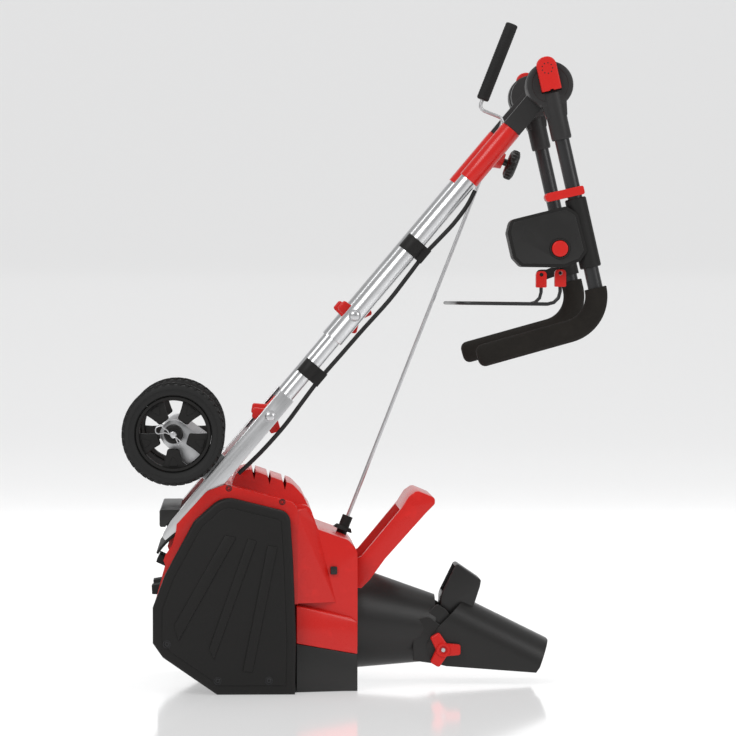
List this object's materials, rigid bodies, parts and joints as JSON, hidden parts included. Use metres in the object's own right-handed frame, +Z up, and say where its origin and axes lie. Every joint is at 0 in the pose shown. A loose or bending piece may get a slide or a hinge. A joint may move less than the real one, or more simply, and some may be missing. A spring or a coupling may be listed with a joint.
{
  "type": "snow blower",
  "caption": "Corded electric single-stage snow blower standing on its intake mouth, with a folded handlebar, paddle auger, turning chute and transport wheels.",
  "frame": {"origin": "middle of the footprint, on the surface that the intake mouth stands on", "axes": "+X from the ground side to the top of the machine, +Y across its width from the switch box side, +Z up in the storage pose"},
  "size_m": [0.7798, 0.444, 1.0937],
  "materials": {
    "red_plastic": "semi-gloss moulded",
    "black_plastic": "satin moulded",
    "grey_plastic": "fine texture",
    "bright_steel": "zinc plated satin",
    "zinc_steel": "bright zinc",
    "black_steel": "black powder coat",
    "rubber": "matt",
    "grip_foam": "closed-cell foam"
  },
  "bodies": {
    "machine": {"auger_housing": "black_plastic", "top_cover": "red_plastic", "belt_cover": "black_plastic", "side_cover": "black_plastic", "scraper_bar": "black_plastic", "auger_bearing_left": "zinc_steel", "auger_bearing_right": "zinc_steel", "motor": "black_steel", "drive_belt": "rubber", "carry_handle": "red_plastic", "crank_base": "black_plastic", "frame_channel_left": "bright_steel", "frame_channel_right": "bright_steel", "mid_tube_left": "bright_steel", "mid_tube_right": "bright_steel", "upper_tube_left": "bright_steel", "upper_tube_right": "bright_steel", "cross_foot": "black_plastic", "wheel_axle": "zinc_steel", "crank_bridge": "red_plastic", "hinge_arm_lower_left": "grey_plastic", "hinge_arm_lower_right": "grey_plastic", "power_cable": "rubber", "cable_clip_upper": "black_plastic", "cable_clip_lower": "black_plastic"},
    "auger": {"auger_shaft": "zinc_steel", "auger_paddles": "rubber", "auger_pulley": "black_plastic"},
    "motor_rotor": {"motor_pulley": "zinc_steel"},
    "wheel_left": {"tyre_left": "rubber", "wheel_rim_left": "black_plastic"},
    "wheel_right": {"tyre_right": "rubber", "wheel_rim_right": "black_plastic"},
    "chute": {"chute_base": "black_plastic"},
    "deflector": {"chute_deflector": "black_plastic"},
    "chute_knob_left": {"chute_knob_left": "red_plastic"},
    "chute_knob_right": {"chute_knob_right": "red_plastic"},
    "crank": {"crank_rod": "zinc_steel"},
    "crank_handle": {"crank_grip": "black_plastic"},
    "clamp_knob": {"clamp_knob": "black_plastic"},
    "frame_knob_upper_left": {"frame_knob_upper_left": "red_plastic"},
    "frame_knob_lower_left": {"frame_knob_lower_left": "red_plastic"},
    "frame_knob_upper_right": {"frame_knob_upper_right": "red_plastic"},
    "frame_knob_lower_right": {"frame_knob_lower_right": "red_plastic"},
    "handlebar": {"hinge_arm_upper_left": "grey_plastic", "hinge_arm_upper_right": "grey_plastic", "handlebar_tube_left": "black_steel", "handlebar_tube_right": "black_steel", "foam_grip_left": "grip_foam", "foam_grip_right": "grip_foam", "switch_box": "black_plastic", "bail_clamp": "black_plastic"},
    "start_button": {"start_button": "red_plastic"},
    "bail": {"bail": "black_steel", "bail_bracket_left": "red_plastic", "bail_bracket_right": "red_plastic"},
    "hinge_tab_left": {"hinge_tab_left": "red_plastic"},
    "hinge_tab_right": {"hinge_tab_right": "red_plastic"},
    "strain_hook": {"strain_hook": "red_plastic"}
  },
  "joints": [
    {"name": "auger_spin", "type": "hinge", "parent": "machine", "child": "auger", "pos_m": [-0.24113, 0, 0.165], "axis": [0, 1, 0], "continuous": true},
    {"name": "motor_spin", "type": "hinge", "parent": "machine", "child": "motor_rotor", "pos_m": [-0.16613, -0.19, 0.284], "axis": [0, 1, 0], "continuous": true},
    {"name": "wheel_spin_left", "type": "hinge", "parent": "machine", "child": "wheel_left", "pos_m": [-0.30693, -0.188, 0.41802], "axis": [0, 1, 0], "continuous": true},
    {"name": "wheel_spin_right", "type": "hinge", "parent": "machine", "child": "wheel_right", "pos_m": [-0.30693, 0.188, 0.41802], "axis": [0, 1, 0], "continuous": true},
    {"name": "chute_turn", "type": "hinge", "parent": "machine", "child": "chute", "pos_m": [-0.01013, 0, 0.108], "axis": [1, 0, 0], "range_deg": [-95, 95]},
    {"name": "deflector_tilt", "type": "hinge", "parent": "chute", "child": "deflector", "pos_m": [0.13287, 0, 0.059], "axis": [0, 1, 0], "range_deg": [0, 40]},
    {"name": "chute_knob_turn_left", "type": "hinge", "parent": "deflector", "child": "chute_knob_left", "pos_m": [0.13287, -0.07, 0.059], "axis": [0, -1, 0], "continuous": true},
    {"name": "chute_knob_turn_right", "type": "hinge", "parent": "deflector", "child": "chute_knob_right", "pos_m": [0.13287, 0.07, 0.059], "axis": [0, 1, 0], "continuous": true},
    {"name": "crank_turn", "type": "hinge", "parent": "machine", "child": "crank", "pos_m": [-0.02613, 0, 0.263], "axis": [0.3665, 0, 0.9304], "range_deg": [-765, 765]},
    {"name": "crank_grip_spin", "type": "hinge", "parent": "crank", "child": "crank_handle", "pos_m": [0.19589, 0, 0.94939], "axis": [0.3665, 0, 0.9304], "continuous": true},
    {"name": "clamp_knob_turn", "type": "hinge", "parent": "machine", "child": "clamp_knob", "pos_m": [0.23624, 0, 0.86211], "axis": [0.9304, 0, -0.3665], "continuous": true},
    {"name": "frame_knob_turn_upper_left", "type": "hinge", "parent": "machine", "child": "frame_knob_upper_left", "pos_m": [-0.01518, -0.14, 0.60768], "axis": [0, 1, 0], "continuous": true},
    {"name": "frame_knob_turn_upper_right", "type": "hinge", "parent": "machine", "child": "frame_knob_upper_right", "pos_m": [-0.01518, 0.14, 0.60768], "axis": [0, -1, 0], "continuous": true},
    {"name": "frame_knob_turn_lower_left", "type": "hinge", "parent": "machine", "child": "frame_knob_lower_left", "pos_m": [-0.15174, -0.14, 0.44551], "axis": [0, 1, 0], "continuous": true},
    {"name": "frame_knob_turn_lower_right", "type": "hinge", "parent": "machine", "child": "frame_knob_lower_right", "pos_m": [-0.15174, 0.14, 0.44551], "axis": [0, -1, 0], "continuous": true},
    {"name": "handlebar_fold", "type": "hinge", "parent": "machine", "child": "handlebar", "pos_m": [0.29657, 0, 0.9779], "axis": [0, -1, 0], "range_deg": [0, 127]},
    {"name": "start_button_press", "type": "slide", "parent": "handlebar", "child": "start_button", "axis": [0, 1, 0], "range_m": [0, 0.004], "stiffness_N_per_m": 250, "springref_m": -0.002},
    {"name": "bail_pull", "type": "hinge", "parent": "handlebar", "child": "bail", "pos_m": [0.31487, 0, 0.676], "axis": [0, -1, 0], "range_deg": [0, 18], "stiffness_Nm_per_rad": 3, "springref_deg": -17.19},
    {"name": "hinge_tab_press_left", "type": "slide", "parent": "handlebar", "child": "hinge_tab_left", "axis": [0, 1, 0], "range_m": [0, 0.004], "stiffness_N_per_m": 400, "springref_m": -0.003},
    {"name": "hinge_tab_press_right", "type": "slide", "parent": "handlebar", "child": "hinge_tab_right", "axis": [0, -1, 0], "range_m": [0, 0.004], "stiffness_N_per_m": 400, "springref_m": -0.003},
    {"name": "strain_hook_slide", "type": "slide", "parent": "handlebar", "child": "strain_hook", "axis": [-0.2215, 0, 0.9751], "range_m": [0, 0.06]}
  ],
  "couplings": [
    {"joint": "motor_spin", "follows": "auger_spin", "ratio": 5.5},
    {"joint": "crank_turn", "follows": "chute_turn", "ratio": 8}
  ]
}
